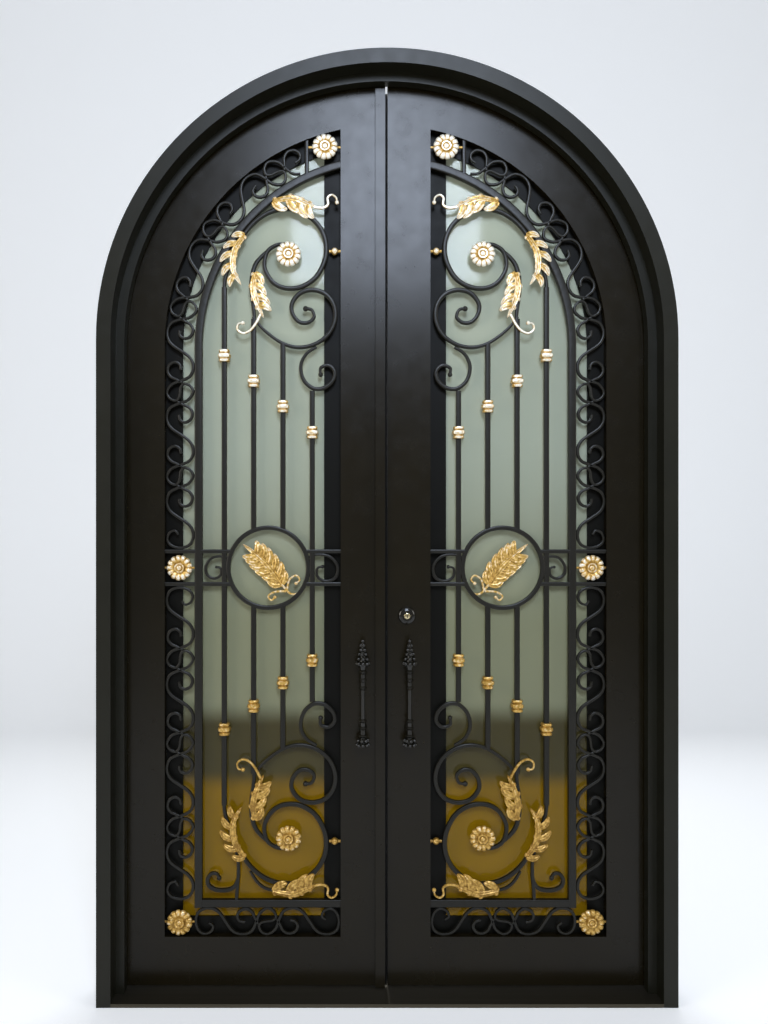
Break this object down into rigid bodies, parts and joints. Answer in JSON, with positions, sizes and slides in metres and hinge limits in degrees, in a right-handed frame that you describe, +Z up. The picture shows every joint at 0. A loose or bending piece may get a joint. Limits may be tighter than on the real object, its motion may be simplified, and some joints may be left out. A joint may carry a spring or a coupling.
{
  "type": "wrought iron double entry door with arched frame",
  "caption": "Arched double entry door of dark wrought iron with gilt leaves, scrolls, medallions and glass, in its steel frame; both leaves swing inward.",
  "frame": {"origin": "under the middle of the sill plate, at mid depth of the frame, on the sill's underside", "axes": "+X across the opening, +Y into the building, +Z up"},
  "size_m": [1.85, 0.173, 3.0498],
  "materials": {
    "bronze_painted_iron": "satin dark bronze paint",
    "bronze_hardware": "satin dark bronze paint",
    "gilded_iron": "gold leaf paint with a pale rub",
    "door_glass": "clear",
    "sill_metal": "mill finish, worn"
  },
  "bodies": {
    "frame": {"left_jamb": "bronze_painted_iron", "right_jamb": "bronze_painted_iron", "arch_head": "bronze_painted_iron", "side_stops": "bronze_painted_iron", "arch_stop": "bronze_painted_iron", "threshold": "sill_metal", "jamb_hinges": "bronze_hardware"},
    "left_door": {"left_hinge_stile": "bronze_painted_iron", "left_lock_stile": "bronze_painted_iron", "left_bottom_rail": "bronze_painted_iron", "left_arch_rail": "bronze_painted_iron", "left_astragal": "bronze_painted_iron", "left_leaf_hinges": "bronze_hardware", "left_glass_frame": "bronze_painted_iron", "left_glass": "door_glass", "left_border_bars": "bronze_painted_iron", "left_border_scrolls": "bronze_painted_iron", "left_upright_bars": "bronze_painted_iron", "left_medallion_ring": "bronze_painted_iron", "left_upper_scrolls": "bronze_painted_iron", "left_lower_scrolls": "bronze_painted_iron", "left_collars": "gilded_iron", "left_rosettes": "gilded_iron", "left_leaves": "gilded_iron", "left_medallion_sprig": "gilded_iron", "left_pull_handle": "bronze_hardware"},
    "right_door": {"right_hinge_stile": "bronze_painted_iron", "right_lock_stile": "bronze_painted_iron", "right_bottom_rail": "bronze_painted_iron", "right_arch_rail": "bronze_painted_iron", "right_deadbolt": "bronze_hardware", "right_leaf_hinges": "bronze_hardware", "right_glass_frame": "bronze_painted_iron", "right_glass": "door_glass", "right_border_bars": "bronze_painted_iron", "right_border_scrolls": "bronze_painted_iron", "right_upright_bars": "bronze_painted_iron", "right_medallion_ring": "bronze_painted_iron", "right_upper_scrolls": "bronze_painted_iron", "right_lower_scrolls": "bronze_painted_iron", "right_collars": "gilded_iron", "right_rosettes": "gilded_iron", "right_leaves": "gilded_iron", "right_medallion_sprig": "gilded_iron", "right_pull_handle": "bronze_hardware"}
  },
  "joints": [
    {"name": "left_door_swing", "type": "hinge", "parent": "frame", "child": "left_door", "pos_m": [-0.876, 0.087, 0.28], "axis": [0, 0, 1], "range_deg": [0, 100]},
    {"name": "right_door_swing", "type": "hinge", "parent": "frame", "child": "right_door", "pos_m": [0.876, 0.087, 0.28], "axis": [0, 0, -1], "range_deg": [0, 100]}
  ]
}
